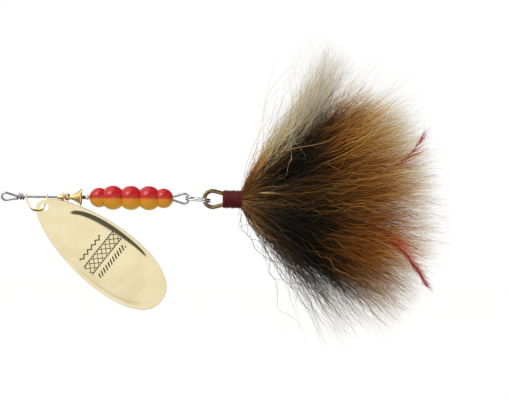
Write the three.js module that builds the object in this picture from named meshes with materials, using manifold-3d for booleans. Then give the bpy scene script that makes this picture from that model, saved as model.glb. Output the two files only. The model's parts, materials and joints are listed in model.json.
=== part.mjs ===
// An inline spinner: a wire shaft carrying a clevis and blade, a stack of brass cones and beads and a lobed
// body, with a split ring, a dressed treble hook and two hackle feathers behind it.
//
// Millimetres. +X runs from the line eye to the tail along the shaft, +Z is up, and the blade's domed side
// faces -Y. The origin is on the shaft's axis, where a leader bears on the inside of the line eye.

import * as THREE from 'three';
import { mergeVertices } from 'three/addons/utils/BufferGeometryUtils.js';
import Module from 'manifold-3d';

const wasm = await Module();
wasm.setup();

const { degToRad } = THREE.MathUtils;
const vec = (x, y, z) => new THREE.Vector3(x, y, z);

// ---------------------------------------------------------------------------------------------------------
// Driving dimensions

const WIRE_R = 0.55; // shaft wire
const WIRE_SIDES = 8;
const RUNNING_GAP = 0.08; // radial clearance of everything threaded on the shaft
const BORE_R = WIRE_R + RUNNING_GAP;
const SMALL_GAP = 0.3; // between pieces that rest on each other

// Line eye and the tag end wrapped round the shaft behind it
const EYE_R = 1.85;
const EYE_NECK_X = 7.6;
const EYE_ARC_STEPS = 11; // odd, so that one flat of the wire faces straight back along the shaft
const WRAP_START_X = 6.9;
const WRAP_LENGTH = 3.55;
const WRAP_TURNS = 2.25;
const WRAP_R = 2 * WIRE_R + 0.06; // from the axis to the middle of the wrapped wire

// Stations along the shaft, front to back
const CLEVIS_FRONT_X = 11.7;
const CLEVIS_REAR_X = 22.05;
const CONE_X = 27.3;
const CONE_LENGTH = 3.4;
const CONE_R = 2.35;
const CAP_BEAD_X = 31.0;
const CAP_BEAD_LENGTH = 2.5;
const CAP_BEAD_R = 2.0;
const BELL_X = 33.8;
const BELL_LENGTH = 5.55;
const BELL_R = 4.3;
const SPACER_X = 39.7;
const SPACER_LENGTH = 1.4;
const SPACER_R = 0.95;
const NECK_BEAD_X = 41.3;
const NECK_BEAD_LENGTH = 1.75;
const NECK_BEAD_R = 1.15;

// Body: five lobes of one turned piece
const LOBES = [
  { x: 48.1, r: 4.95 },
  { x: 55.0, r: 6.1 },
  { x: 64.0, r: 6.1 },
  { x: 73.0, r: 6.1 },
  { x: 80.3, r: 4.95 },
];
const BODY_FRONT_R = 0.95; // flat where the neck bead bears
const TAG_BORE_R = 1.45; // counterbore that takes the shaft and its returning tag end
const TAG_BORE_X = 77.5;

// Rear loop
const LOOP_X = 90.55;
const LOOP_R = 2.45;
const LOOP_LEG_Z = 0.6; // each leg's height where it leaves the body
const LEG_BEND_X = 83.4; // where the legs start to spread towards the loop
const TAG_END_X = 79.5;

// Clevis strip, turned out of the blade's plane about the shaft
const CLEVIS_LEAN = degToRad(38);
const STRIP_T = 0.4;
const EAR_R = 1.5;
const STRIP_HALF_WIDTH = 0.75;
const CLEVIS_DEPTH = 8.45;

// Blade
const BLADE_DROP = degToRad(38); // long axis below the shaft
const BLADE_T = 0.6;
const HOLE_R = 2.0;
const HOLE_X = 21.1;
const HOLE_Y = -4.0;
const HOLE_Z = -5.15;
const BLADE_MAX_FROM_HOLE = 42; // from the hole to the widest section
const BLADE_FRONT = { length: 46.25, power: 1.75 };
const BLADE_REAR = { length: 32.75, power: 2.27 };
const BLADE_HALF_WIDTH = 15.9;
const DOME_FRONT = { length: 34.5, power: 1.95 };
const DOME_REAR = { length: 30.6, power: 2.2 };
const DOME_HALF_WIDTH = 14.3;
const DOME_HEIGHT = 3.6;
const DOME_STEP = 0.2;

// Split ring
const RING_R = 6.12; // to the middle of the flattened wire
const RING_WIRE_HALF = { radial: 0.58, axial: 0.49 };
const RING_COIL_OFFSET = 0.55;
const RING_X = 97.5;
const RING_Z = -0.35;
const RING_TILT = degToRad(5);

// Treble hook
const HOOK_R = 1.02;
const HOOK_EYE_X = 104.7;
const HOOK_EYE_R = 4.05;
const SHANK_PAIR_R = 1.25; // from the axis to the shanks of the double
const SHANK_SINGLE_R = 1.35;
const SHANK_START_X = 115.5;
const BEND_X = 142.5;
const BEND_R = 7.5;
const SPEAR_END_X = 133;
const POINT_X = 127.6;
const HOOK_AZIMUTHS = [11.5, 131.5, -108.5].map(degToRad); // from -Y towards +Z
const SINGLE_START_X = 110.9;

// Thread wrap
const THREAD = { x: 109.7, length: 10.35, r: 4.55, boreFront: 4.08, boreRear: 2.62, boreStep: 5.8 };

// Tail: each tuft runs from its place round the shank to its tip; size is its half width and half thickness
const TAIL_X = THREAD.x + THREAD.length + 3 * SMALL_GAP;
const TAIL_ROOT_R = 3.7;
const TUFTS = [
  { name: 'hair_top_cream', azimuth: 111.5, tip: [170, 2, 78], size: [12, 5], colour: 0xcdb28c },
  { name: 'hair_upper_black', azimuth: 71.5, tip: [185, -12, 56], size: [9, 4], colour: 0x2a2218 },
  { name: 'hair_upper_ginger', azimuth: 31.5, tip: [205, -24, 42], size: [11, 3.2], colour: 0x7a4c24 },
  { name: 'hair_near_middle', azimuth: -8.5, tip: [215, -30, 10], size: [13, 3.2], colour: 0x5c3c20 },
  { name: 'hair_lower_ginger', azimuth: -48.5, tip: [214, -28, -25], size: [11, 3.2], colour: 0x74491f },
  { name: 'hair_lower_black', azimuth: -88.5, tip: [194, -14, -57], size: [9, 4], colour: 0x241d15 },
  { name: 'hair_bottom_grey', azimuth: -128.5, tip: [172, 6, -63], size: [10, 5], colour: 0x6f675e },
  { name: 'hair_far_lower', azimuth: 191.5, tip: [216, 30, -14], size: [15, 3.2], colour: 0x60401f },
  { name: 'hair_far_upper', azimuth: 151.5, tip: [210, 26, 36], size: [15, 3.2], colour: 0x75491f },
];
const FEATHERS = [
  { name: 'hackle_upper', azimuth: 11.5, root: 4.1, tip: [214, -27, 30] },
  { name: 'hackle_lower', azimuth: -68.5, root: 4.1, tip: [216, -25, -45] },
];

// ---------------------------------------------------------------------------------------------------------
// Solids

// A closed mesh as a solid that can be joined and cut.
function solid(geometry) {
  const bare = new THREE.BufferGeometry();
  bare.setAttribute('position', geometry.getAttribute('position'));
  if (geometry.index) bare.setIndex(geometry.index);
  const merged = mergeVertices(bare, 1e-5);
  return new wasm.Manifold(new wasm.Mesh({
    numProp: 3,
    vertProperties: new Float32Array(merged.getAttribute('position').array),
    triVerts: new Uint32Array(merged.index.array),
  }));
}

function geometryOf(body) {
  const { numProp, vertProperties, triVerts } = body.getMesh();
  const geometry = new THREE.BufferGeometry();
  const points = [];
  for (let i = 0; i < vertProperties.length; i += numProp) {
    points.push(vertProperties[i], vertProperties[i + 1], vertProperties[i + 2]);
  }
  geometry.setAttribute('position', new THREE.Float32BufferAttribute(points, 3));
  geometry.setIndex(Array.from(triVerts));
  geometry.computeVertexNormals();
  return geometry;
}

function mesh(name, geometry, color, roughness, metalness) {
  const made = new THREE.Mesh(geometry, new THREE.MeshStandardMaterial({ color, roughness, metalness }));
  made.name = name;
  return made;
}

const STEEL = [0xb9bcc2, 0.25, 1];
const BRASS = [0xc9a35c, 0.3, 1];
const GOLD_PLATE = [0xe8dcb0, 0.15, 1];

// A regular polygon with a flat, not a corner, on each axis.
function ringOfPoints(radius, sides) {
  return Array.from({ length: sides }, (_, i) => {
    const angle = ((i + 0.5) / sides) * 2 * Math.PI;
    return new THREE.Vector2(radius * Math.cos(angle), radius * Math.sin(angle));
  });
}

// A path that is sampled at exactly its own points, with mitred tangents.
class PointPath extends THREE.Curve {
  constructor(points) {
    super();
    this.points = points;
  }

  getPoint(t) {
    return this.points[Math.round(t * (this.points.length - 1))].clone();
  }

  getPointAt(t) {
    return this.getPoint(t);
  }

  getTangentAt(t) {
    const i = Math.round(t * (this.points.length - 1));
    const tangent = vec(0, 0, 0);
    if (i > 0) tangent.add(this.points[i].clone().sub(this.points[i - 1]).normalize());
    if (i < this.points.length - 1) tangent.add(this.points[i + 1].clone().sub(this.points[i]).normalize());
    return tangent.normalize();
  }
}

function sweep(points, outline) {
  return new THREE.ExtrudeGeometry(new THREE.Shape(outline), {
    steps: points.length - 1,
    extrudePath: new PointPath(points),
  });
}

const wire = (points, radius) => sweep(points, ringOfPoints(radius, WIRE_SIDES));

// A closed skin over rings of equally many points, with a fan at each end.
function skin(rings) {
  const count = rings[0].length;
  const middle = (ring) => ring.reduce((sum, p) => sum.add(p), vec(0, 0, 0)).divideScalar(count);
  const points = [...rings.flat(), middle(rings[0]), middle(rings.at(-1))];
  const first = rings.length * count;
  const faces = [];
  for (let i = 0; i < count; i += 1) {
    const j = (i + 1) % count;
    const end = (rings.length - 1) * count;
    faces.push(first, j, i, first + 1, end + i, end + j);
    for (let k = 0; k < rings.length - 1; k += 1) {
      const a = k * count;
      const b = a + count;
      faces.push(a + i, a + j, b + j, a + i, b + j, b + i);
    }
  }
  const geometry = new THREE.BufferGeometry();
  geometry.setAttribute('position', new THREE.Float32BufferAttribute(points.flatMap((p) => p.toArray()), 3));
  geometry.setIndex(faces);
  geometry.computeVertexNormals();
  return geometry;
}

// A piece turned about the shaft. The profile is a closed list of [x along the shaft, radius].
function turned(profile, sides) {
  const closed = [...profile, profile[0]].map(([x, r]) => new THREE.Vector2(r, x));
  return new THREE.LatheGeometry(closed, sides).rotateZ(-Math.PI / 2);
}

// Points of an arc in the XZ plane, from one angle to another, measured from +X towards +Z.
function arc(centreX, radius, from, to, steps) {
  return Array.from({ length: steps + 1 }, (_, i) => {
    const angle = from + ((to - from) * i) / steps;
    return vec(centreX + radius * Math.cos(angle), 0, radius * Math.sin(angle));
  });
}

// Angle, about a circle's centre, where a line from a point touches it on the +Z side.
function touchAngle(centreX, radius, point) {
  const away = vec(point.x - centreX, 0, point.z);
  return Math.atan2(away.z, away.x) + Math.sign(point.x - centreX) * Math.acos(radius / away.length());
}

// ---------------------------------------------------------------------------------------------------------
// Shaft: one wire from the tag end in the body, round the rear loop, along the axis, round the line eye and
// into the wraps

function shaftWire() {
  const legTop = vec(LEG_BEND_X + 1, 0, LOOP_LEG_Z + 0.1);
  const legTouch = touchAngle(LOOP_X, LOOP_R, legTop);
  const rearLoop = arc(LOOP_X, LOOP_R, -legTouch, legTouch, 14);
  const mirror = (p) => vec(p.x, p.y, -p.z);

  const apothem = WIRE_R * Math.cos(Math.PI / WIRE_SIDES);
  const neck = vec(EYE_NECK_X, 0, 0);
  // the eye's centre puts the flat that the leader bears on at the origin
  let eyeX = EYE_R - apothem;
  let eyeTouch = 0;
  for (let i = 0; i < 20; i += 1) {
    eyeTouch = touchAngle(eyeX, EYE_R, neck);
    eyeX = (EYE_R - apothem) * Math.cos((Math.PI - eyeTouch) / EYE_ARC_STEPS);
  }
  const eye = arc(eyeX, EYE_R, eyeTouch, 2 * Math.PI - eyeTouch, EYE_ARC_STEPS);

  const wrapSteps = Math.round(WRAP_TURNS * 10);
  const leadIn = 0.8; // the first turn climbs on to the shaft at a slant
  const wraps = Array.from({ length: wrapSteps + 1 }, (_, i) => {
    const t = i / wrapSteps;
    const angle = 2 * Math.PI * WRAP_TURNS * t;
    const x = WRAP_START_X + leadIn * (1 - Math.exp(-8 * t)) + (WRAP_LENGTH - leadIn) * t;
    return vec(x, WRAP_R * Math.sin(angle), -WRAP_R * Math.cos(angle));
  });

  return mesh('shaft_wire', wire([
    vec(TAG_END_X, 0, -LOOP_LEG_Z),
    vec(LEG_BEND_X, 0, -LOOP_LEG_Z),
    mirror(legTop),
    ...rearLoop,
    legTop,
    vec(LEG_BEND_X, 0, LOOP_LEG_Z),
    vec(LEG_BEND_X - 1.4, 0, LOOP_LEG_Z),
    vec(TAG_END_X - 1, 0, 0.1),
    vec(TAG_BORE_X, 0, 0),
    neck,
    ...eye,
    vec(EYE_NECK_X - 2, 0, -WRAP_R - 0.02),
    ...wraps,
  ], WIRE_R), ...STEEL);
}

// ---------------------------------------------------------------------------------------------------------
// Clevis: a folded strip with an eyed ear at each end

function clevis() {
  // the fold, as distances along the shaft from an ear and out from the shaft: a long slant from the front
  // ear, a floor that the blade hangs on, and a short rise to the rear ear
  const ear = [0, -EAR_R - 0.2];
  const front = [ear, [0, 0.8], [0.8, 2.9], [1.8, 5.2], [2.8, 7.2], [4.0, 8.2], [5.8, CLEVIS_DEPTH]];
  const rear = [[2.65, 8.4], [1.4, 7.6], [1.1, 6.3], [0.65, 4.2], [0, 1.6], ear];
  const fold = new THREE.CatmullRomCurve3([
    ...front.map(([back, out]) => vec(CLEVIS_FRONT_X + back, out, 0)),
    ...rear.map(([ahead, out]) => vec(CLEVIS_REAR_X - ahead, out, 0)),
  ], false, 'centripetal');
  const steps = 26;
  const outline = [];
  const inside = [];
  for (let i = 0; i <= steps; i += 1) {
    const p = fold.getPointAt(i / steps);
    const tangent = fold.getTangentAt(i / steps);
    const normal = vec(-tangent.y, tangent.x, 0).multiplyScalar(STRIP_T / 2);
    outline.push(new THREE.Vector2(p.x - normal.x, p.y - normal.y));
    inside.unshift(new THREE.Vector2(p.x + normal.x, p.y + normal.y));
  }
  const wide = 2 * EAR_R + 1;
  const bent = new THREE.ExtrudeGeometry(new THREE.Shape([...outline, ...inside]), {
    depth: wide,
    bevelEnabled: false,
  }).translate(0, 0, -wide / 2);

  // the blank's width, seen along the shaft: round ears that narrow to the strip
  const narrowAt = 4.6;
  const bottom = CLEVIS_DEPTH + 1;
  const blank = new THREE.Shape();
  blank.moveTo(STRIP_HALF_WIDTH, bottom);
  blank.lineTo(STRIP_HALF_WIDTH, narrowAt);
  blank.quadraticCurveTo(EAR_R, 2.6, EAR_R, 0);
  blank.absarc(0, 0, EAR_R, 0, -Math.PI, true);
  blank.quadraticCurveTo(-EAR_R, 2.6, -STRIP_HALF_WIDTH, narrowAt);
  blank.lineTo(-STRIP_HALF_WIDTH, bottom);
  const length = CLEVIS_REAR_X - CLEVIS_FRONT_X + 4;
  const stamp = new THREE.ExtrudeGeometry(blank, { depth: length, bevelEnabled: false, curveSegments: 8 })
    .applyMatrix4(new THREE.Matrix4().makeBasis(vec(0, 0, -1), vec(0, 1, 0), vec(1, 0, 0)))
    .translate(CLEVIS_FRONT_X - 2, 0, 0);
  const bore = new THREE.CylinderGeometry(BORE_R, BORE_R, length, 20)
    .rotateZ(Math.PI / 2)
    .translate(CLEVIS_FRONT_X - 2 + length / 2, 0, 0);

  const body = solid(bent).intersect(solid(stamp)).subtract(solid(bore));
  const made = mesh('clevis', geometryOf(body), ...GOLD_PLATE);
  made.rotation.x = -Math.PI / 2 - CLEVIS_LEAN; // the strip's +Y, out from the shaft, turns down and forward
  return made;
}

// ---------------------------------------------------------------------------------------------------------
// Blade: a flat rim round a pressed dome, thin throughout

// A point of a two-part superellipse, at an angle about its widest section.
function ovalPoint(front, rear, halfWidth, angle) {
  const { length, power } = Math.cos(angle) < 0 ? front : rear;
  const reach = (value, exponent) => Math.sign(value) * Math.abs(value) ** (2 / exponent);
  return vec(
    BLADE_MAX_FROM_HOLE + length * reach(Math.cos(angle), power),
    halfWidth * reach(Math.sin(angle), power),
    0,
  );
}

// Height of the dome above the rim, at a share of the way out from its middle to its edge.
function domeHeight(share) {
  const step = THREE.MathUtils.smoothstep(1 - share, 0, 0.12);
  return DOME_STEP * step + (DOME_HEIGHT - DOME_STEP) * (1 - share ** 2);
}

function ovalRing(pointAt) {
  const count = 56;
  return Array.from({ length: count }, (_, i) => pointAt((2 * Math.PI * i) / count));
}

// A ring of the dome, raised to its height and offset to one face of the sheet.
function domeRing(share, offset) {
  const centre = vec(BLADE_MAX_FROM_HOLE, 0, 0);
  return ovalRing((angle) => centre.clone()
    .lerp(ovalPoint(DOME_FRONT, DOME_REAR, DOME_HALF_WIDTH, angle), share)
    .setZ(domeHeight(share) + offset));
}

const outlineRing = (offset) => ovalRing(
  (angle) => ovalPoint(BLADE_FRONT, BLADE_REAR, BLADE_HALF_WIDTH, angle).setZ(offset),
);

function blade() {
  const domeShares = [0.18, 0.45, 0.7, 0.88, 0.95, 1];
  const over = domeShares.map((share) => domeRing(share, BLADE_T / 2));
  const under = domeShares.map((share) => domeRing(share, -BLADE_T / 2));
  const shell = skin([...under, outlineRing(-BLADE_T / 2), outlineRing(BLADE_T / 2), ...over.reverse()]);
  const hole = new THREE.CylinderGeometry(HOLE_R, HOLE_R, 4, 24).rotateX(Math.PI / 2);
  const made = mesh('blade', geometryOf(solid(shell).subtract(solid(hole))), ...GOLD_PLATE);
  made.rotation.x = Math.PI / 2;
  const hung = new THREE.Group();
  hung.position.set(HOLE_X, HOLE_Y, HOLE_Z);
  hung.rotation.y = BLADE_DROP;
  hung.add(made);
  return hung;
}

// ---------------------------------------------------------------------------------------------------------
// Cones, beads and body

function frontCone() {
  const profile = [
    [CONE_X, BORE_R],
    [CONE_X, 0.95],
    [CONE_X + CONE_LENGTH * 0.55, 1.35],
    [CONE_X + CONE_LENGTH * 0.85, CONE_R * 0.88],
    [CONE_X + CONE_LENGTH * 0.9, CONE_R],
    [CONE_X + CONE_LENGTH, CONE_R],
    [CONE_X + CONE_LENGTH, BORE_R],
  ];
  return mesh('front_cone', turned(profile, 24), ...BRASS);
}

// A bead with rounded sides and a flat on each end.
function bead(name, x, length, radius, material) {
  const flat = Math.min(radius * 0.75, BORE_R + 0.35);
  const steps = 5;
  const round = Array.from({ length: steps + 1 }, (_, i) => {
    const angle = (Math.PI * i) / steps;
    return [x + (length / 2) * (1 - Math.cos(angle)), flat + (radius - flat) * Math.sin(angle)];
  });
  return mesh(name, turned([[x, BORE_R], ...round, [x + length, BORE_R]], 20), ...material);
}

function bell() {
  const wall = 0.42;
  const end = BELL_X + BELL_LENGTH;
  const profile = [
    [BELL_X, BORE_R],
    [BELL_X, 1.15],
    [BELL_X + 1.6, 1.75],
    [BELL_X + 3.4, 2.85],
    [end - 0.9, 3.95],
    [end - 0.7, BELL_R],
    [end, BELL_R],
    [end, 3.6],
    [BELL_X + 3.5, 2.85 - wall],
    [BELL_X + 1.9, 1.75 - wall],
    [BELL_X + 1.1, BORE_R],
  ];
  return mesh('bell_cone', turned(profile, 28), ...BRASS);
}

// Where two neighbouring lobes meet: the shaft position that lies on both spheres.
function valleyX(a, b) {
  return (a.x + b.x) / 2 + (a.r ** 2 - b.r ** 2) / (2 * (b.x - a.x));
}

function body() {
  const stepsPerLobe = 6;
  const profile = [];
  LOBES.forEach((lobe, i) => {
    const startX = i === 0
      ? lobe.x - Math.sqrt(lobe.r ** 2 - BODY_FRONT_R ** 2)
      : valleyX(LOBES[i - 1], lobe);
    const endX = i === LOBES.length - 1
      ? lobe.x + Math.sqrt(lobe.r ** 2 - (TAG_BORE_R + 0.25) ** 2)
      : valleyX(lobe, LOBES[i + 1]);
    const from = Math.acos((startX - lobe.x) / lobe.r);
    const to = Math.acos((endX - lobe.x) / lobe.r);
    for (let k = i === 0 ? 0 : 1; k <= stepsPerLobe; k += 1) {
      const angle = from + ((to - from) * k) / stepsPerLobe;
      profile.push([lobe.x + lobe.r * Math.cos(angle), lobe.r * Math.sin(angle)]);
    }
  });
  const frontX = profile[0][0];
  const rearX = profile.at(-1)[0];
  profile.push([rearX, TAG_BORE_R], [TAG_BORE_X, TAG_BORE_R], [TAG_BORE_X, BORE_R], [frontX, BORE_R]);
  return mesh('lobed_body', turned(profile, 28), 0xc24a2c, 0.25, 0);
}

// ---------------------------------------------------------------------------------------------------------
// Split ring: nearly two turns of flattened wire with one crossover

function splitRing() {
  const crossover = degToRad(30);
  const end = 4 * Math.PI - crossover - degToRad(4);
  const steps = 62;
  const turn = 2 * Math.PI;
  const path = Array.from({ length: steps + 1 }, (_, i) => {
    const angle = (end * i) / steps;
    const rise = THREE.MathUtils.smoothstep(angle, turn - crossover, turn);
    const z = RING_COIL_OFFSET * (2 * rise - 1);
    const around = angle - Math.PI / 2; // the crossover faces -Y
    return vec(RING_R * Math.cos(around), RING_R * Math.sin(around), z);
  });
  const { radial, axial } = RING_WIRE_HALF;
  const chamfer = 0.2;
  const section = [
    [radial, chamfer - axial],
    [radial - chamfer, -axial],
    [chamfer - radial, -axial],
    [-radial, chamfer - axial],
    [-radial, axial - chamfer],
    [chamfer - radial, axial],
    [radial - chamfer, axial],
    [radial, axial - chamfer],
  ];
  const rings = path.map((p) => {
    const outward = vec(p.x, p.y, 0).normalize();
    return section.map(([r, z]) => p.clone().addScaledVector(outward, r).add(vec(0, 0, z)));
  });
  const made = mesh('split_ring', skin(rings), ...STEEL);
  made.rotation.y = RING_TILT;
  made.position.set(RING_X, 0, RING_Z);
  return made;
}

// ---------------------------------------------------------------------------------------------------------
// Treble hook: a double bent from one wire, whose middle is the eye, and a single laid against it

// A point at a distance from the shaft's axis, in the direction of an azimuth from -Y towards +Z.
function around(x, radius, azimuth) {
  return vec(x, -radius * Math.cos(azimuth), radius * Math.sin(azimuth));
}

// From the shank's start, back round the bend and forward along the spear.
function hookArm(shankR, azimuth) {
  const bend = Array.from({ length: 9 }, (_, i) => {
    const angle = (Math.PI * i) / 8;
    return around(BEND_X + BEND_R * Math.sin(angle), shankR + BEND_R * (1 - Math.cos(angle)), azimuth);
  });
  return [around(SHANK_START_X, shankR, azimuth), ...bend, around(SPEAR_END_X, shankR + 2 * BEND_R, azimuth)];
}

// The point and its barb, joined to the end of a spear.
function withPoint(hook, shankR, azimuth) {
  const spearR = shankR + 2 * BEND_R;
  const overlap = 0.6;
  const length = SPEAR_END_X + overlap - POINT_X;
  const point = new THREE.CylinderGeometry(0.04, HOOK_R * 0.96, length, WIRE_SIDES)
    .rotateZ(Math.PI / 2)
    .translate(SPEAR_END_X + overlap - length / 2, 0, 0);
  const barb = new THREE.CylinderGeometry(0.05, 0.42, 2.6, 5)
    .translate(0, 1.3, 0)
    .rotateZ(degToRad(-68))
    .translate(SPEAR_END_X - 1.6, 0.5, 0);
  const place = new THREE.Matrix4().makeBasis(
    vec(1, 0, 0),
    around(0, -1, azimuth),
    vec(1, 0, 0).cross(around(0, -1, azimuth)),
  ).setPosition(around(0, spearR, azimuth));
  return hook.add(solid(point.applyMatrix4(place))).add(solid(barb.applyMatrix4(place)));
}

function hookPaths() {
  const [nearAzimuth, topAzimuth, bottomAzimuth] = HOOK_AZIMUTHS;
  const leave = degToRad(75);
  const eye = arc(HOOK_EYE_X, HOOK_EYE_R, leave, 2 * Math.PI - leave, 18);
  const converge = (from, azimuth) => new THREE.CatmullRomCurve3([
    from,
    vec(HOOK_EYE_X + 5, 0, Math.sign(from.z) * 2.85),
    around(HOOK_EYE_X + 8.3, 1.75, azimuth),
    around(SHANK_START_X, SHANK_PAIR_R, azimuth),
    around(SHANK_START_X + 3, SHANK_PAIR_R, azimuth),
  ], false, 'centripetal').getPoints(10).slice(1, -1);
  const top = [...converge(eye[0], topAzimuth), ...hookArm(SHANK_PAIR_R, topAzimuth).slice(1)];
  const bottom = [...converge(eye.at(-1), bottomAzimuth), ...hookArm(SHANK_PAIR_R, bottomAzimuth).slice(1)];
  return {
    double: [...top.reverse(), ...eye, ...bottom],
    single: [around(SINGLE_START_X, SHANK_SINGLE_R, nearAzimuth), ...hookArm(SHANK_SINGLE_R, nearAzimuth)],
  };
}

const BRONZE = [0x5a4a34, 0.4, 1];

function hooks() {
  const { double, single } = hookPaths();
  const [nearAzimuth, topAzimuth, bottomAzimuth] = HOOK_AZIMUTHS;
  let pair = solid(wire(double, HOOK_R));
  pair = withPoint(pair, SHANK_PAIR_R, topAzimuth);
  pair = withPoint(pair, SHANK_PAIR_R, bottomAzimuth);
  const third = withPoint(solid(wire(single, HOOK_R)), SHANK_SINGLE_R, nearAzimuth);
  return [
    mesh('hook_double', geometryOf(pair), ...BRONZE),
    mesh('hook_single', geometryOf(third), ...BRONZE),
  ];
}

function threadWrap() {
  const { x, length, r, boreFront, boreRear, boreStep } = THREAD;
  const end = x + length;
  const profile = [
    [x, boreFront],
    [x, r - 0.2],
    [x + 0.7, r],
    [end - 0.9, r],
    [end, r - 0.3],
    [end, boreRear],
    [x + boreStep, boreRear],
  ];
  return mesh('thread_wrap', turned(profile, 24), 0x5a1626, 0.7, 0);
}

// ---------------------------------------------------------------------------------------------------------
// Tail

// A leaf-shaped solid from the root ring to a tip, wide across the radius and thin along it.
function leaf(azimuth, rootR, tip, sizeAt) {
  const root = around(TAIL_X, rootR, azimuth);
  const end = vec(...tip);
  const bow = vec(0, root.y - end.y, root.z - end.z).multiplyScalar(0.04);
  const path = new THREE.QuadraticBezierCurve3(root, root.clone().lerp(end, 0.5).add(bow), end);
  const sides = 10;
  const steps = 10;
  return skin(Array.from({ length: steps + 1 }, (_, k) => {
    const s = k / steps;
    const point = path.getPoint(s);
    const tangent = path.getTangent(s);
    const radial = vec(0, point.y, point.z).normalize();
    const across = tangent.clone().cross(radial).normalize();
    const through = across.clone().cross(tangent);
    const [halfWidth, halfThickness] = sizeAt(s);
    return Array.from({ length: sides }, (__, i) => {
      const angle = (2 * Math.PI * i) / sides;
      return point.clone()
        .addScaledVector(across, -halfWidth * Math.cos(angle))
        .addScaledVector(through, halfThickness * Math.sin(angle));
    });
  }));
}

// Swells from a root size to full size at two thirds of the length, then rounds off.
function swell(s, rootSize, fullSize) {
  const full = 0.68;
  if (s < full) return THREE.MathUtils.lerp(rootSize, fullSize, (s / full) ** 1.1);
  const past = (s - full) / (1 - full);
  return Math.max(fullSize * Math.sqrt(1 - past ** 2), 0.25);
}

// The room the hooks need among the tufts.
function hookRoom() {
  const { double, single } = hookPaths();
  const clear = HOOK_R + 0.7; // room for the barbs too
  const spearTip = (azimuth, shankR) => around(POINT_X - 0.5, shankR + 2 * BEND_R, azimuth);
  const [nearAzimuth, topAzimuth, bottomAzimuth] = HOOK_AZIMUTHS;
  const doublePath = [
    spearTip(topAzimuth, SHANK_PAIR_R),
    ...double,
    spearTip(bottomAzimuth, SHANK_PAIR_R),
  ];
  const singlePath = [...single, spearTip(nearAzimuth, SHANK_SINGLE_R)];
  return solid(wire(doublePath, clear)).add(solid(wire(singlePath, clear)));
}

function tail() {
  const room = hookRoom();
  const tufts = TUFTS.map(({ name, azimuth, tip, size: [width, thickness], colour }) => {
    const sizes = (s) => [swell(s, 0.85, width), swell(s, 0.7, thickness)];
    const shape = solid(leaf(degToRad(azimuth), TAIL_ROOT_R, tip, sizes)).subtract(room);
    return mesh(name, geometryOf(shape), colour, 0.9, 0);
  });
  const feathers = FEATHERS.map(({ name, azimuth, root, tip }) => {
    const sizes = (s) => [swell(s, 0.3, 1.6), swell(s, 0.3, 0.45)];
    const shape = solid(leaf(degToRad(azimuth), root, tip, sizes)).subtract(room);
    return mesh(name, geometryOf(shape), 0x8a1218, 0.7, 0);
  });
  return [...tufts, ...feathers];
}

// ---------------------------------------------------------------------------------------------------------

const spinner = new THREE.Group();
spinner.name = 'inline_spinner';
spinner.add(
  shaftWire(),
  clevis(),
  blade(),
  frontCone(),
  bead('cap_bead', CAP_BEAD_X, CAP_BEAD_LENGTH, CAP_BEAD_R, BRASS),
  bell(),
  bead('spacer_bead', SPACER_X, SPACER_LENGTH, SPACER_R, [0x2b2622, 0.4, 1]),
  bead('neck_bead', NECK_BEAD_X, NECK_BEAD_LENGTH, NECK_BEAD_R, BRASS),
  body(),
  splitRing(),
  ...hooks(),
  threadWrap(),
  ...tail(),
);

export default spinner;
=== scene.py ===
import json
import math

import bpy
import numpy as np
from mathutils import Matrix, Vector


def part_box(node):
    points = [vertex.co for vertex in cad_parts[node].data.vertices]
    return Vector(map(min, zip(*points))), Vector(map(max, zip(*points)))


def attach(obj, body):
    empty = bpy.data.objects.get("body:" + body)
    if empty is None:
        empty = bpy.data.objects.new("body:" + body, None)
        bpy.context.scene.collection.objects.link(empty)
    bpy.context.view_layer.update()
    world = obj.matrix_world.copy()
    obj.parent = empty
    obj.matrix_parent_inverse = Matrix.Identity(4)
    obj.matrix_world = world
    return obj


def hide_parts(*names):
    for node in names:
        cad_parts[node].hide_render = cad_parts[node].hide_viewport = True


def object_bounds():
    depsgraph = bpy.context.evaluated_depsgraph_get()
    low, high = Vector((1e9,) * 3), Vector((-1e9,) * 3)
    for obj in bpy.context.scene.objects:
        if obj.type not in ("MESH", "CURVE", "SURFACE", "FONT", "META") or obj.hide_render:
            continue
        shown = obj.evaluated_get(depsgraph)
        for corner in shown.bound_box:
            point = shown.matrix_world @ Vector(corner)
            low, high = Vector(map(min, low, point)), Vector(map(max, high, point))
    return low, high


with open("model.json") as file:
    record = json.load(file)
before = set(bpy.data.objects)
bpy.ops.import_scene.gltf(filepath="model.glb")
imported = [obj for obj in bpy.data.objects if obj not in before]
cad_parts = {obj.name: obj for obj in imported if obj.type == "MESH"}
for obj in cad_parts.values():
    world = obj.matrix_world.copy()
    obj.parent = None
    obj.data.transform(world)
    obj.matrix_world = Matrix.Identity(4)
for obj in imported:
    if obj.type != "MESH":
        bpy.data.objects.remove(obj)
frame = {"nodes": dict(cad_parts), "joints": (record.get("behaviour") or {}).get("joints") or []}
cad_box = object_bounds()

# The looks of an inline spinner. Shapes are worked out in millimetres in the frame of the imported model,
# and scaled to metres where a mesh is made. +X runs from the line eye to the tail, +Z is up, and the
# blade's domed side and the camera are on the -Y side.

MM = 0.001
SHARP = math.radians(35)  # edges turned by more than this are shown crisp
FLOOR_DROP = 95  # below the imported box, clear of the tail at every pose
AMBIENT = 0.5  # brightness of the studio on dull parts
CAMERA_ROLL = math.radians(-0.75)
PICTURE_WIDTH = 1.1722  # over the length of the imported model
PICTURE_MIDDLE = 0.498  # share of the picture's width from its left edge to the camera's axis
random = np.random.default_rng(20)

# ----------------------------------------------------------------------
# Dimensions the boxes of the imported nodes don't give

WIRE_R = 0.55
EYE_R = 1.85
EYE_NECK_X = 7.6
WRAP_START_X = 6.9
WRAP_LENGTH = 3.55
WRAP_TURNS = 2.25
LOOP_R = 2.45
LOOP_LEG_Z = 0.6
BORE_R = 0.63

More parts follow.
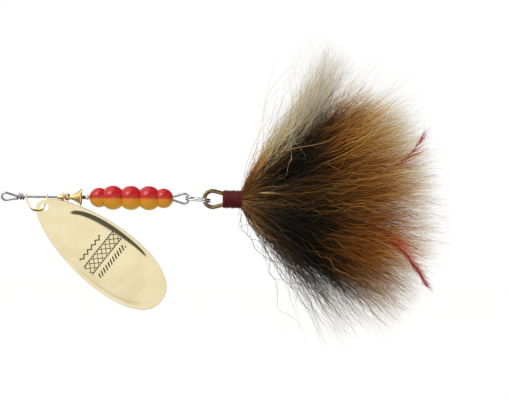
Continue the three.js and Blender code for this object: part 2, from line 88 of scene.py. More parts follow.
CLEVIS_LEAN = math.radians(38)
CLEVIS_DEPTH = 8.45
EAR_R = 1.5
STRIP_T = 0.4
STRIP_HALF_WIDTH = 0.75

BLADE_DROP = math.radians(38)
BLADE_T = 0.6
BLADE_RIM = 0.985  # share of the outline where the edge starts to round over
HOLE_R = 2.0
WIDEST = 42.0  # from the hole to the blade's widest section
OUTLINE = {"front": (46.25, 1.75), "rear": (32.75, 2.27), "half_width": 15.9}
DOME = {"front": (33.8, 2.3), "rear": (30.6, 2.2), "half_width": 14.5}
DOME_HEIGHT = 3.6
DOME_STEP = 0.2

LOBES = [(48.1, 4.95), (55.0, 6.1), (64.0, 6.1), (73.0, 6.1), (80.3, 4.95)]
TAG_BORE_R = 1.45
TAG_BORE_X = 77.5

RING_R = 6.12
RING_TILT = math.radians(5)
RING_COIL_OFFSET = 0.55
RING_HALF = (0.58, 0.49)

HOOK_R = 1.02
HOOK_EYE_R = 4.05
SHANK_PAIR_R = 1.25
SHANK_SINGLE_R = 1.35
BEND_R = 7.5
SPEAR_LENGTH = 14.9  # from the bend to the point
HOOK_AZIMUTHS = [math.radians(a) for a in (11.5, 131.5, -108.5)]  # from -Y towards +Z

THREAD_R = 0.21
TAIL_ROOT_R = 3.7


# ----------------------------------------------------------------------
# Mesh helpers

def box(node):
    """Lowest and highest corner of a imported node, in millimetres."""
    low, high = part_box(node)
    return np.array(low) / MM, np.array(high) / MM


def extent(node):
    """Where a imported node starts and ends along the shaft, and its radius, in millimetres."""
    low, high = box(node)
    return low[0], high[0], high[2]


def joint_at(name):
    """Where a joint is, in millimetres."""
    joint = next(j for j in frame["joints"] if j["name"] == name)
    return np.array(joint["pos_m"]) / MM


def unit(vectors):
    return vectors / np.maximum(np.linalg.norm(vectors, axis=-1, keepdims=True), 1e-12)


def make(name, points, *faces):
    """A smooth-shaded object from points in millimetres and arrays of faces, one array per face size."""
    mesh = bpy.data.meshes.new(name)
    mesh.vertices.add(len(points))
    mesh.vertices.foreach_set("co", (np.asarray(points) * MM).astype(np.float32).ravel())
    points_round_faces = np.concatenate([f.ravel() for f in faces])
    sizes = np.concatenate([np.full(len(f), f.shape[1]) for f in faces])
    mesh.loops.add(len(points_round_faces))
    mesh.loops.foreach_set("vertex_index", points_round_faces.astype(np.int32))
    mesh.polygons.add(len(sizes))
    mesh.polygons.foreach_set("loop_start", (np.cumsum(sizes) - sizes).astype(np.int32))
    mesh.update(calc_edges=True)
    mesh.polygons.foreach_set("use_smooth", np.ones(len(sizes), bool))
    mesh.set_sharp_from_angle(angle=SHARP)
    made = bpy.data.objects.new(name, mesh)
    bpy.context.scene.collection.objects.link(made)
    return made


def band(rings, count, closed=False):
    """Quads that join rings of count points each, and the last ring to the first if closed."""
    k = np.arange(rings if closed else rings - 1)[:, None]
    i = np.arange(count)[None]
    here = k * count
    there = ((k + 1) % rings) * count
    after = (i + 1) % count
    return np.stack([here + i, here + after, there + after, there + i], -1).reshape(-1, 4)


def corners(mesh):
    """The point at each corner of each face."""
    found = np.empty(len(mesh.loops), np.int32)
    mesh.loops.foreach_get("vertex_index", found)
    return found


def lay_out(mesh, name, u, v):
    """Gives a mesh a layout, with a place for each corner of each face."""
    layer = mesh.uv_layers.new(name=name)
    layer.data.foreach_set("uv", np.stack([u, v], -1).astype(np.float32).ravel())


def skin(name, rings):
    """A closed object over an array of rings, (rings, points, 3), with a flat face at each end."""
    count, sides, _ = rings.shape
    first = np.arange(sides)[None, ::-1]
    last = np.arange(sides)[None] + (count - 1) * sides
    return make(name, rings.reshape(-1, 3), band(count, sides), first, last)


def turned(name, profile, sides=96):
    """A ring-shaped object turned about the shaft from a closed profile of (x, radius)."""
    profile = np.array(profile)
    angle = 2 * np.pi * np.arange(sides) / sides
    x = np.repeat(profile[:, :1], sides, axis=1)
    y = profile[:, 1:] * np.cos(angle)
    z = profile[:, 1:] * np.sin(angle)
    points = np.stack([x, y, z], -1).reshape(-1, 3)
    return make(name, points, band(len(profile), sides, closed=True))


def carried_frame(path):
    """Two normals to a path, carried along it without twist."""
    tangents = unit(np.gradient(path, axis=0))
    start = np.cross(tangents[0], [0.0, 1.0, 0.0])
    if np.linalg.norm(start) < 0.1:
        start = np.cross(tangents[0], [0.0, 0.0, 1.0])
    side = [unit(start)]
    for tangent in tangents[1:]:
        side.append(unit(side[-1] - tangent * np.dot(side[-1], tangent)))
    side = np.array(side)
    return side, np.cross(tangents, side)


def tube_rings(path, radius, sides):
    side, up = carried_frame(path)
    angle = 2 * np.pi * np.arange(sides)[None, :, None] / sides
    radius = np.broadcast_to(radius, len(path))[:, None, None]
    return path[:, None] + radius * (np.cos(angle) * side[:, None] + np.sin(angle) * up[:, None])


def tube(name, path, radius, sides=20):
    return skin(name, tube_rings(np.asarray(path, float), radius, sides))


def spline(points, count):
    """A smooth curve through points, evenly spaced along their chords."""
    points = np.asarray(points, float)
    knots = np.concatenate([[0], np.cumsum(np.linalg.norm(np.diff(points, axis=0), axis=1))])
    slopes = np.gradient(points, knots, axis=0)
    t = np.linspace(0, knots[-1], count)
    k = np.clip(np.searchsorted(knots, t) - 1, 0, len(knots) - 2)
    h = (knots[k + 1] - knots[k])[:, None]
    s = (t - knots[k])[:, None] / h
    ends = (2 * s**3 - 3 * s**2 + 1) * points[k] + (3 * s**2 - 2 * s**3) * points[k + 1]
    pulls = (s**3 - 2 * s**2 + s) * slopes[k] + (s**3 - s**2) * slopes[k + 1]
    return ends + h * pulls


def arc(centre_x, radius, start, end, steps):
    """Points of an arc in the XZ plane, measured from +X towards +Z."""
    angle = np.linspace(start, end, steps + 1)
    return np.stack([centre_x + radius * np.cos(angle), 0 * angle, radius * np.sin(angle)], -1)


def touch_angle(centre_x, radius, point):
    """Angle about a circle's centre where a line from a point touches it, on the +Z side."""
    away = math.hypot(point[0] - centre_x, point[2])
    turn = math.copysign(math.acos(radius / away), point[0] - centre_x)
    return math.atan2(point[2], point[0] - centre_x) + turn


def around(x, radius, azimuth):
    """A point at a distance from the shaft's axis, in the direction of an azimuth from -Y towards +Z."""
    return np.array([x, -radius * math.cos(azimuth), radius * math.sin(azimuth)])


def smoothstep(value, low, high):
    t = np.clip((value - low) / (high - low), 0, 1)
    return t * t * (3 - 2 * t)


def signed_power(value, power):
    return np.sign(value) * np.abs(value) ** power


def bent(start, knee, end, t):
    """A curve from start to end, drawn towards a knee."""
    return (1 - t) ** 2 * start + 2 * t * (1 - t) * knee + t**2 * end


def cut(piece, cutter):
    """Cuts one object out of another, and removes the cutter."""
    modifier = piece.modifiers.new("Hole", "BOOLEAN")
    modifier.object = cutter
    modifier.operation = "DIFFERENCE"
    modifier.solver = "EXACT"
    graph = bpy.context.evaluated_depsgraph_get()
    mesh = bpy.data.meshes.new_from_object(piece.evaluated_get(graph))
    piece.modifiers.clear()
    piece.data = mesh
    mesh.set_sharp_from_angle(angle=SHARP)
    bpy.data.objects.remove(cutter)


# ----------------------------------------------------------------------
# Materials

def rgb(red, green, blue):
    """A display colour, 0 to 255, as the linear colour a shader takes."""
    values = [c / 255 for c in (red, green, blue)]
    return [c / 12.92 if c <= 0.04045 else ((c + 0.055) / 1.055) ** 2.4 for c in values] + [1.0]


class Nodes:
    """Adds and joins the nodes of a shader tree."""

    def __init__(self, tree):
        self.tree = tree

    def add(self, kind, **settings):
        node = self.tree.nodes.new("ShaderNode" + kind)
        for key, value in settings.items():
            setattr(node, key, value)
        return node

    def feed(self, socket, value):
        if isinstance(value, bpy.types.NodeSocket):
            self.tree.links.new(value, socket)
        else:
            socket.default_value = value

    def math(self, operation, *values):
        node = self.add("Math", operation=operation)
        for socket, value in zip(node.inputs, values):
            self.feed(socket, value)
        return node.outputs[0]

    def parts(self, vector):
        node = self.add("SeparateXYZ")
        self.feed(node.inputs[0], vector)
        return node.outputs

    def scale(self, vector, factor):
        node = self.add("VectorMath", operation="SCALE")
        self.feed(node.inputs[0], vector)
        self.feed(node.inputs["Scale"], factor)
        return node.outputs[0]

    def ramp(self, value, *stops):
        node = self.add("ValToRGB")
        while len(node.color_ramp.elements) < len(stops):
            node.color_ramp.elements.new(0.5)
        for element, (position, colour) in zip(node.color_ramp.elements, stops):
            element.position = position
            element.color = colour
        self.feed(node.inputs[0], value)
        return node.outputs[0]

    def mix(self, share, first, second, kind="MIX"):
        node = self.add("Mix", data_type="RGBA", blend_type=kind)
        self.feed(node.inputs[0], share)
        self.feed(node.inputs[6], first)
        self.feed(node.inputs[7], second)
        return node.outputs[2]

    def span(self, value, low, high, to_low=0.0, to_high=1.0):
        node = self.add("MapRange")
        for socket, number in zip(node.inputs[:5], (value, low, high, to_low, to_high)):
            self.feed(socket, number)
        return node.outputs[0]


class Look(Nodes):
    """A node material round one Principled shader."""

    def __init__(self, name, **values):
        self.material = bpy.data.materials.new(name)
        self.material.use_nodes = True
        super().__init__(self.material.node_tree)
        self.surface = self.tree.nodes["Principled BSDF"]
        for key, value in values.items():
            self.surface.inputs[key.replace("_", " ")].default_value = value
        self.place = self.add("TexCoord").outputs["Object"]

    def noise(self, size, detail=2.0, stretch=(1, 1, 1)):
        """Noise whose features are about size millimetres across, from 0 to 1."""
        node = self.add("TexNoise")
        node.inputs["Scale"].default_value = 1 / (size * MM)
        node.inputs["Detail"].default_value = detail
        scaled = self.add("VectorMath", operation="MULTIPLY")
        self.feed(scaled.inputs[0], self.place)
        scaled.inputs[1].default_value = stretch
        self.feed(node.inputs["Vector"], scaled.outputs[0])
        return node.outputs["Fac"]

    def colour(self, value):
        self.feed(self.surface.inputs["Base Color"], value)

    def roughness(self, value):
        self.feed(self.surface.inputs["Roughness"], value)

    def bump(self, height, distance):
        """Surface relief, distance millimetres high."""
        node = self.add("Bump")
        node.inputs["Strength"].default_value = 1.0
        node.inputs["Distance"].default_value = distance * MM
        self.feed(node.inputs["Height"], height)
        self.feed(self.surface.inputs["Normal"], node.outputs[0])


def metal(name, bright, dull, roughness, grain=0.02):
    """Bare or plated metal: patches of two tints, handling haze and fine drawing marks."""
    look = Look(name, Metallic=1.0)
    patches = look.noise(2.4, 4)
    look.colour(look.mix(look.span(patches, 0.35, 0.7), bright, dull))
    haze = look.noise(1.1, 5)
    look.roughness(look.span(haze, 0.3, 0.75, roughness * 0.7, roughness * 1.5))
    look.bump(look.noise(0.25, 3, stretch=(0.25, 1, 1)), grain)
    return look.material


def blade_metal():
    """Pale gold plate with a black printed ornament of zigzag, lattice and dashes across the dome."""
    look = Look("gold_plate_printed", Metallic=1.0)
    plan = look.add("UVMap", uv_map="BladeMap")
    u, v, _ = look.parts(plan.outputs[0])
    along = look.math("MULTIPLY", u, 100)
    across = look.math("MULTIPLY", look.math("SUBTRACT", v, 0.5), 100)

    def near(value, centre, half):
        return look.math("COMPARE", value, centre, half)

    def both(first, second):
        return look.math("MULTIPLY", first, second)

    def either(first, second):
        return look.math("MAXIMUM", first, second)

    # a zigzag line
    zigzag = look.math("SUBTRACT", along, look.math("PINGPONG", across, 1.5))
    zigzag = both(near(zigzag, 30.1, 0.42), near(across, -1.5, 8.0))
    # two rails with a lattice between them
    shift = look.math("SUBTRACT", along, 36.9)
    rising = look.math("PINGPONG", look.math("ADD", across, shift), 1.55)
    falling = look.math("PINGPONG", look.math("SUBTRACT", across, shift), 1.55)
    lattice = both(either(near(rising, 0, 0.26), near(falling, 0, 0.26)), near(along, 36.9, 2.6))
    rails = either(near(along, 34.1, 0.24), near(along, 39.7, 0.24))
    lattice = both(either(lattice, rails), near(across, 0.4, 11.6))
    # slanted dashes
    slant = look.math("ADD", across, look.math("MULTIPLY", along, 0.55))
    dashes = look.math("PINGPONG", slant, 0.9)
    dashes = both(both(near(dashes, 0, 0.42), near(along, 43.1, 1.25)), near(across, 0.2, 10.0))

    wear = look.math("GREATER_THAN", look.noise(0.35, 3), 0.34)
    printed = both(either(either(zigzag, lattice), dashes), wear)
    front = look.add("Attribute", attribute_name="printed_side")
    printed = both(printed, front.outputs["Fac"])

    plate = look.mix(look.span(look.noise(9, 3), 0.35, 0.7), rgb(243, 229, 193), rgb(233, 217, 177))
    look.colour(look.mix(printed, plate, rgb(26, 23, 20)))
    look.feed(look.surface.inputs["Metallic"], look.math("SUBTRACT", 1.0, printed))
    haze = look.span(look.noise(1.6, 5), 0.3, 0.75, 0.045, 0.1)
    look.roughness(look.math("ADD", haze, look.math("MULTIPLY", printed, 0.25)))
    look.bump(look.noise(1.2, 3), 0.004)
    return look.material


def body_paint():
    """Gloss red sprayed over orange and golden yellow, meeting in a speckled edge at mid height."""
    look = Look("body_paint_two_tone", Coat_Weight=0.6, Coat_Roughness=0.2, Specular_IOR_Level=0.05)
    height = look.math("DIVIDE", look.parts(look.place)[2], MM)
    speckle = look.math("SUBTRACT", look.noise(0.34, 2), 0.5)
    drift = look.math("SUBTRACT", look.noise(3.5, 2), 0.5)
    edge = look.math("ADD", height, look.math("MULTIPLY", speckle, 3.4))
    edge = look.math("ADD", edge, look.math("MULTIPLY", drift, 1.4))
    # the lower colours grow lighter towards the bottom: partly the paint's real fade to golden yellow,
    # partly painted light against the shade under the body
    lower = look.ramp(
        look.span(height, -6.0, 0.6),
        (0.0, rgb(252, 196, 62)),
        (0.45, rgb(244, 172, 38)),
        (0.85, rgb(236, 132, 30)),
        (1.0, rgb(222, 92, 34)),
    )
    upper = look.ramp(
        look.span(height, -0.6, 5.5),
        (0.0, rgb(190, 34, 22)),
        (0.3, rgb(200, 28, 30)),
        (1.0, rgb(204, 36, 42)),
    )
    share = look.span(edge, -0.25, 0.45)
    seam = look.math("COMPARE", height, -0.1, 0.16)
    paint = look.mix(share, lower, upper)
    look.colour(look.mix(look.math("MULTIPLY", seam, 0.55), paint, rgb(110, 22, 14)))
    look.roughness(look.span(look.noise(0.8, 3), 0.3, 0.7, 0.16, 0.3))
    look.bump(look.noise(0.9, 3), 0.003)
    return look.material


def thread_look():
    """Dyed and varnished binding thread."""
    look = Look("maroon_thread", Coat_Weight=0.15, Coat_Roughness=0.3, Specular_IOR_Level=0.2)
    look.colour(look.ramp(
        look.noise(0.5, 4),
        (0.3, rgb(58, 10, 14)),
        (0.55, rgb(108, 20, 28)),
        (0.75, rgb(140, 40, 46)),
    ))
    look.roughness(look.span(look.noise(0.3, 3), 0.3, 0.7, 0.35, 0.65))
    look.bump(look.noise(0.09, 2, stretch=(1, 0.3, 0.3)), 0.03)
    return look.material


def strand_look(name, roughness, sheen):
    """Hair or feather, coloured by each strand's own point colours."""
    look = Look(name, Roughness=roughness, Specular_IOR_Level=0.0, Sheen_Weight=sheen)
    tint = look.add("Attribute", attribute_name="strand_colour").outputs["Color"]
    fleck = look.span(look.noise(1.2, 3), 0.3, 0.7, 0.82, 1.16)
    look.colour(look.scale(tint, fleck))
    return look.material


def floor_look():
    """A pale studio table, seen through from below."""
    look = Look("pale_table")
    look.colour(look.mix(look.noise(60, 3), rgb(248, 248, 247), rgb(243, 243, 242)))
    look.roughness(0.8)
    look.surface.inputs["Emission Color"].default_value = rgb(255, 255, 255)
    look.surface.inputs["Emission Strength"].default_value = 0.51  # as white as the backdrop
    clear = look.add("BsdfTransparent")
    choice = look.add("MixShader")
    look.feed(choice.inputs[0], look.add("NewGeometry").outputs["Backfacing"])
    look.feed(choice.inputs[1], look.surface.outputs[0])
    look.feed(choice.inputs[2], clear.outputs[0])
    look.feed(look.tree.nodes["Material Output"].inputs["Surface"], choice.outputs[0])
    return look.material


STEEL = metal("steel_wire_drawn", rgb(178, 174, 180), rgb(128, 124, 128), 0.22)
# the clevis has the blade's pale gold plate; this rougher copy is painted darker, as painted shade
SHADED_GOLD = metal("gold_plate_painted_darker", rgb(228, 204, 146), rgb(182, 152, 92), 0.24)
BRASS = metal("brass_polished", rgb(240, 212, 154), rgb(206, 160, 92), 0.17)
# painted shade: the spacer bead between the bell and the body is coloured as dark as the shaded gap there
SHADE_DARK_METAL = metal("dark_metal_painted_shade", rgb(92, 76, 56), rgb(40, 34, 30), 0.35)
NICKEL = metal("nickel_bright", rgb(232, 232, 236), rgb(200, 200, 206), 0.12)
BRONZE = metal("hook_bronzed", rgb(150, 126, 84), rgb(84, 68, 46), 0.26)


def dress(piece, material, slot, body, *nodes):
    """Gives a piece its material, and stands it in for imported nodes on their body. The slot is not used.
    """
    piece.data.materials.clear()
    piece.data.materials.append(material)
    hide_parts(*nodes)
    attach(piece, body)
    return piece


# ----------------------------------------------------------------------
# Shaft wire and clevis

def shaft_wire():
    _, high = box("shaft_wire")
    loop_x = high[0] - WIRE_R - LOOP_R
    leg = np.array([box("lobed_body")[1][0] - 0.5, 0, LOOP_LEG_Z])
    touch = touch_angle(loop_x, LOOP_R, leg)
    rear_loop = arc(loop_x, LOOP_R, -touch, touch, 48)

    neck = np.array([EYE_NECK_X, 0, 0])
    eye_x = EYE_R - WIRE_R
    eye_touch = touch_angle(eye_x, EYE_R, neck)
    eye = arc(eye_x, EYE_R, eye_touch, 2 * math.pi - eye_touch, 48)

    wrap_r = 2 * WIRE_R + 0.03
    t = np.linspace(0, 1, 90)
    lead = 0.8 * (1 - np.exp(-8 * t))
    x = WRAP_START_X + lead + (WRAP_LENGTH - 0.8) * t
    angle = 2 * np.pi * WRAP_TURNS * t
    wraps = np.stack([x, wrap_r * np.sin(angle), -wrap_r * np.cos(angle)], -1)

    inside = box("lobed_body")[1][0] - 5
    path = np.concatenate([
        [[inside, 0, -LOOP_LEG_Z], leg * (1, 1, -1)],
        rear_loop,
        [leg, [leg[0] - 2, 0, LOOP_LEG_Z], [TAG_BORE_X + 1, 0, 0.1], [TAG_BORE_X, 0, 0]],
        np.linspace([TAG_BORE_X - 1, 0, 0], neck, 12),
        eye,
        [[5.6, 0, -wrap_r]],
        wraps,
    ])
    dress(tube("wire_shaft", path, WIRE_R), STEEL, "steel_wire", "shaft", "shaft_wire")


def clevis():
    low, high = box("clevis")
    front = low[0] + STRIP_T / 2
    rear = high[0] - STRIP_T / 2
    fold = spline([
        (front, -EAR_R, 0), (front, 0.8, 0), (front + 0.8, 2.9, 0), (front + 1.8, 5.2, 0),
        (front + 2.8, 7.2, 0), (front + 4.0, 8.2, 0), (front + 5.8, CLEVIS_DEPTH, 0),
        (rear - 2.65, 8.4, 0), (rear - 1.4, 7.6, 0), (rear - 1.1, 6.3, 0), (rear - 0.65, 4.2, 0),
        (rear, 1.6, 0), (rear, -EAR_R, 0),
    ], 150)
    tangents = unit(np.gradient(fold, axis=0))
    normal = np.stack([-tangents[:, 1], tangents[:, 0], 0 * tangents[:, 0]], -1)
    out = fold[:, 1]
    ear = np.sqrt(np.maximum(EAR_R**2 - np.minimum(out, 0) ** 2, 0.01))
    narrow_at = np.where(fold[:, 0] < (front + rear) / 2, 7.6, 4.6)
    narrow = STRIP_HALF_WIDTH + (EAR_R - STRIP_HALF_WIDTH) * (1 - smoothstep(out, 0.4, narrow_at))
    half_width = np.minimum(ear, narrow)
    corner = 0.11
    section = []
    for centre_w, centre_n, start in ((1, 1, 0), (-1, 1, 90), (-1, -1, 180), (1, -1, 270)):
        for step in (0, 30, 60, 90):
            angle = math.radians(start + step)
            section.append((centre_w, corner * math.cos(angle), centre_n * (STRIP_T / 2 - corner)
                            + corner * math.sin(angle)))
    rings = []
    for point, across, width in zip(fold, normal, half_width):
        flat = max(width - corner, 0.02)
        rings.append([point + across * n + np.array([0, 0, c * flat + w]) for c, w, n in section])
    rings = np.array(rings)
    # the strip's plane turns from +Y down to its lean in front of the shaft
    turn = -math.pi / 2 - CLEVIS_LEAN
    y = rings[..., 1] * math.cos(turn) - rings[..., 2] * math.sin(turn)
    z = rings[..., 1] * math.sin(turn) + rings[..., 2] * math.cos(turn)
    piece = skin("clevis_strip", np.stack([rings[..., 0], y, z], -1))
    cut(piece, tube("clevis_bore", np.linspace([front - 2, 0, 0], [rear + 2, 0, 0], 3), BORE_R + 0.03, 48))
    dress(piece, SHADED_GOLD, "gold_plate", "clevis", "clevis")


# ----------------------------------------------------------------------
# Blade

def oval(shape, angle):
    """Offsets from the widest section's middle to a two-part superellipse, along and across."""
    (front, front_power), (rear, rear_power) = shape["front"], shape["rear"]
    c, s = np.cos(angle), np.sin(angle)
    length = np.where(c < 0, front, rear)
    power = np.where(c < 0, front_power, rear_power)
    across = shape["half_width"] * signed_power(s, 2 / power)
    return np.stack([length * signed_power(c, 2 / power), across], -1)


def dome_height(share):
    step = smoothstep(1 - share, 0, 0.12)
    return DOME_STEP * step + (DOME_HEIGHT - DOME_STEP) * (1 - share**2)


def blade():
    count = 320
    angle = 2 * np.pi * np.arange(count) / count
    outline = oval(OUTLINE, angle)
    dome = oval(DOME, angle)
    half = BLADE_T / 2
    rings = []
    for share in np.concatenate([np.linspace(0.03, 0.9, 26), np.linspace(0.91, 1, 14)]):
        rings.append((dome * share, dome_height(share)))
    for share in np.linspace(0, 1, 6)[1:]:
        rings.append((dome + (outline * BLADE_RIM - dome) * share, 0.0))

    def sheet(plan, height, side):
        return np.concatenate([plan, np.full((count, 1), height + side * half)], axis=1)

    over = [sheet(plan, height, 1) for plan, height in rings]
    under = [sheet(plan, height, -1) for plan, height in rings]
    edge = []
    for turn in np.linspace(60, -60, 5):
        reach = BLADE_RIM + (1 - BLADE_RIM) * math.cos(math.radians(turn))
        lift = half * math.sin(math.radians(turn))
        edge.append(np.concatenate([outline * reach, np.full((count, 1), lift)], axis=1))
    stack = np.array(under + edge[::-1] + over[::-1])
    local = stack + (WIDEST, 0, 0)

    hole = joint_at("blade_swing")
    c, s = math.cos(BLADE_DROP), math.sin(BLADE_DROP)
    basis = np.array([(c, 0, -s), (s, 0, c), (0, -1, 0)])
    piece = skin("blade_spoon", hole + local @ basis)
    drill = np.linspace([0, 0, -3], [0, 0, 3], 2) @ basis + hole
    cut(piece, tube("blade_drill", drill, HOLE_R, 96))

    # a plan of the blade for its print: along and across, 100 mm to one unit
    mesh = piece.data
    co = np.empty(len(mesh.vertices) * 3)
    mesh.vertices.foreach_get("co", co)
    flat = (co.reshape(-1, 3) / MM - hole) @ basis.T
    plan = flat[corners(mesh)]
    lay_out(mesh, "BladeMap", plan[:, 0] / 100, plan[:, 1] / 100 + 0.5)
    shares = np.linalg.norm(flat[:, :2] - (WIDEST, 0), axis=1)
    printed = mesh.attributes.new("printed_side", "FLOAT", "POINT")
    printed.data.foreach_set("value", upper_side(flat, shares).astype(np.float32))
    dress(piece, blade_metal(), "gold_plate", "blade", "blade")


def upper_side(flat, reach):
    """1 for points on the blade's domed face, 0 for the hollow back, told apart by height over the plan."""
    dome = oval(DOME, np.linspace(0, 2 * np.pi, 720, endpoint=False))
    dome_turn = np.arctan2(dome[:, 1], dome[:, 0])
    order = np.argsort(dome_turn)
    turn = np.arctan2(flat[:, 1], flat[:, 0] - WIDEST)
    edge = np.interp(turn, dome_turn[order], np.linalg.norm(dome, axis=1)[order])
    middle = dome_height(np.clip(reach / edge, 0, 1))
    return (flat[:, 2] > middle).astype(float)


# ----------------------------------------------------------------------
# Cones, beads and body

def curve(stations, count):
    """A smooth profile through stations of (x, radius)."""
    return [tuple(point) for point in spline(stations, count)]


def front_cone():
    start, end, radius = extent("front_cone")
    length = end - start
    rim = start + length * 0.88
    outer = [
        (start, 0.95), (start + length * 0.3, 1.15), (start + length * 0.6, 1.55),
        (rim - 0.05, radius * 0.9),
    ]
    back = [
        (rim, radius - 0.06), (rim + 0.06, radius), (end - 0.07, radius), (end, radius - 0.07),
        (end, BORE_R),
    ]
    profile = [*curve(outer, 40), *back, (start, BORE_R)]
    dress(turned("cone_small", profile), BRASS, "brass", "front_cone", "front_cone")


def bead(name, node, body, material, slot, rings=0):
    """A round-sided bead with a flat at each end, with shallow turned grooves if rings are asked for."""
    start, end, radius = extent(node)
    flat = min(radius * 0.75, BORE_R + 0.35)
    t = np.linspace(0, 1, 49)
    x = start + (end - start) / 2 * (1 - np.cos(np.pi * t))
    r = flat + (radius - flat) * np.sin(np.pi * t) ** 0.8
    if rings:
        r -= 0.16 * radius * np.sin(np.pi * t) * (0.5 - 0.5 * np.cos(2 * np.pi * rings * t))
    profile = [(start, BORE_R), *zip(x, r), (end, BORE_R)]
    dress(turned(name, profile), material, slot, body, node)


def bell():
    start, end, radius = extent("bell_cone")
    wall = 0.36
    outer = [
        (start, 1.15), (start + 0.9, 1.4), (start + 2.2, 2.05), (start + 3.6, 2.95), (end - 0.85, 3.85),
    ]
    lip = [
        (end - 0.72, 4.0), (end - 0.62, radius - 0.08), (end - 0.54, radius), (end - 0.08, radius),
        (end, radius - 0.08), (end, 3.7),
    ]
    inner = [
        (end - 0.2, 3.62), (start + 3.6, 2.95 - wall), (start + 2.3, 2.05 - wall),
        (start + 1.2, BORE_R + 0.1),
    ]
    profile = [*curve(outer, 40), *lip, *curve(inner, 24), (start + 1.1, BORE_R), (start, BORE_R)]
    dress(turned("cone_bell", profile), BRASS, "brass", "bell_cone", "bell_cone")


def lobed_body():
    """Five round lobes. The profile is the outermost of five circles, blended a little where they meet."""
    low, high = box("lobed_body")
    x = np.linspace(low[0], high[0], 320)
    heights = [np.sqrt(np.maximum(r**2 - (x - centre) ** 2, 0.01)) for centre, r in LOBES]
    softness = 0.07
    outer = softness * np.log(np.sum([np.exp(h / softness - 60) for h in heights], axis=0)) + 60 * softness
    outer = np.maximum(outer, 0.9)
    profile = [
        *zip(x, outer),
        (high[0], TAG_BORE_R),
        (TAG_BORE_X, TAG_BORE_R),
        (TAG_BORE_X, BORE_R),
        (low[0], BORE_R),
    ]
    dress(turned("body_lobed", profile, 128), body_paint(), "body_paint", "lobed_body", "lobed_body")


# ----------------------------------------------------------------------
# Split ring

def split_ring():
    low, high = box("split_ring")
    centre = (low + high) / 2
    crossover = math.radians(30)
    angle = np.linspace(0, 4 * math.pi - crossover - math.radians(4), 360)
    rise = smoothstep(angle, 2 * math.pi - crossover, 2 * math.pi)
    turn = angle - math.pi / 2
    outward = np.stack([np.cos(turn), np.sin(turn), 0 * turn], -1)
    path = RING_R * outward
    path[:, 2] = RING_COIL_OFFSET * (2 * rise - 1)
    radial, axial = RING_HALF
    section = np.linspace(0, 2 * np.pi, 24, endpoint=False)
    # flattened wire: a rounded square section
    reach = radial * signed_power(np.cos(section), 0.6)
    lift = axial * signed_power(np.sin(section), 0.6)
    rings = path[:, None] + reach[:, None] * outward[:, None] + lift[:, None] * np.array([0, 0, 1.0])
    c, s = math.cos(RING_TILT), math.sin(RING_TILT)
    tilt = np.array([(c, 0, -s), (0, 1, 0), (s, 0, c)])
    piece = skin("ring_split", rings @ tilt + centre)
    dress(piece, NICKEL, "nickel", "split_ring", "split_ring")


# ----------------------------------------------------------------------
# Hooks and thread

def hook_arm(bend_x, shank_r, azimuth):
    """Centre line from the shank round the bend and forward to the point, and its radii."""
    turn = np.linspace(0, math.pi, 40)
    bend = [
        around(bend_x + BEND_R * math.sin(a), shank_r + BEND_R * (1 - math.cos(a)), azimuth) for a in turn
    ]
    spear_r = shank_r + 2 * BEND_R
    along = np.linspace(0.6, SPEAR_LENGTH, 30)
    spear = [around(bend_x - d, spear_r, azimuth) for d in along]
    left = SPEAR_LENGTH - along
    radii = np.concatenate([np.full(len(bend), HOOK_R), HOOK_R * np.clip(left / 6.2, 0.02, 1) ** 0.62])
    return np.array(bend + spear), radii


def barb_rings(bend_x, shank_r, azimuth):
    """A sliver raised from the inside of the spear, pointing back towards the bend."""
    spear_r = shank_r + 2 * BEND_R
    foot = around(bend_x - SPEAR_LENGTH + 5.2, spear_r - 0.45, azimuth)
    tip = around(bend_x - SPEAR_LENGTH + 7.8, spear_r - 1.75, azimuth)
    path = np.linspace(foot, tip, 8)
    return tube_rings(path, 0.42 * np.linspace(1, 0.1, 8) ** 0.8, 12)


def joined(name, parts):
    """One object over several stacks of rings, each closed at both ends."""
    points = []
    quads = []
    ends = []
    start = 0
    for rings in parts:
        count, sides, _ = rings.shape
        points.append(rings.reshape(-1, 3))
        quads.append(band(count, sides) + start)
        ends.append(np.arange(sides)[None, ::-1] + start)
        ends.append(np.arange(sides)[None] + start + (count - 1) * sides)
        start += count * sides
    return make(name, np.concatenate(points), np.concatenate(quads), *ends)


def hooks():
    low, high = box("hook_double")
    eye_x = low[0] + HOOK_R + HOOK_EYE_R
    bend_x = high[0] - HOOK_R - BEND_R
    near, top, bottom = HOOK_AZIMUTHS
    leave = math.radians(75)
    eye = arc(eye_x, HOOK_EYE_R, leave, 2 * math.pi - leave, 72)
    shank_x = eye_x + 10.8

    def converge(start, azimuth):
        side = math.copysign(1, start[2])
        return spline([
            start,
            (eye_x + 5.0, 0, side * 2.85),
            around(eye_x + 8.3, 1.75, azimuth),
            around(shank_x, SHANK_PAIR_R, azimuth),
            around(shank_x + 3, SHANK_PAIR_R, azimuth),
        ], 40)[1:]

    top_arm, top_radii = hook_arm(bend_x, SHANK_PAIR_R, top)
    bottom_arm, bottom_radii = hook_arm(bend_x, SHANK_PAIR_R, bottom)
    path = np.concatenate([
        top_arm[::-1], converge(eye[0], top)[::-1], eye, converge(eye[-1], bottom), bottom_arm,
    ])
    middle = np.full(len(path) - len(top_arm) - len(bottom_arm), HOOK_R)
    radii = np.concatenate([top_radii[::-1], middle, bottom_radii])
    double = joined("hooks_double", [
        tube_rings(path, radii, 20),
        barb_rings(bend_x, SHANK_PAIR_R, top),
        barb_rings(bend_x, SHANK_PAIR_R, bottom),
    ])
    dress(double, BRONZE, "bronzed_steel", "hook", "hook_double")

    arm, arm_radii = hook_arm(bend_x, SHANK_SINGLE_R, near)
    start = around(box("hook_single")[0][0], SHANK_SINGLE_R, near)
    single = joined("hook_third", [
        tube_rings(np.concatenate([[start], arm]), np.concatenate([[HOOK_R], arm_radii]), 20),
        barb_rings(bend_x, SHANK_SINGLE_R, near),
    ])
    dress(single, BRONZE, "bronzed_steel", "hook", "hook_single")


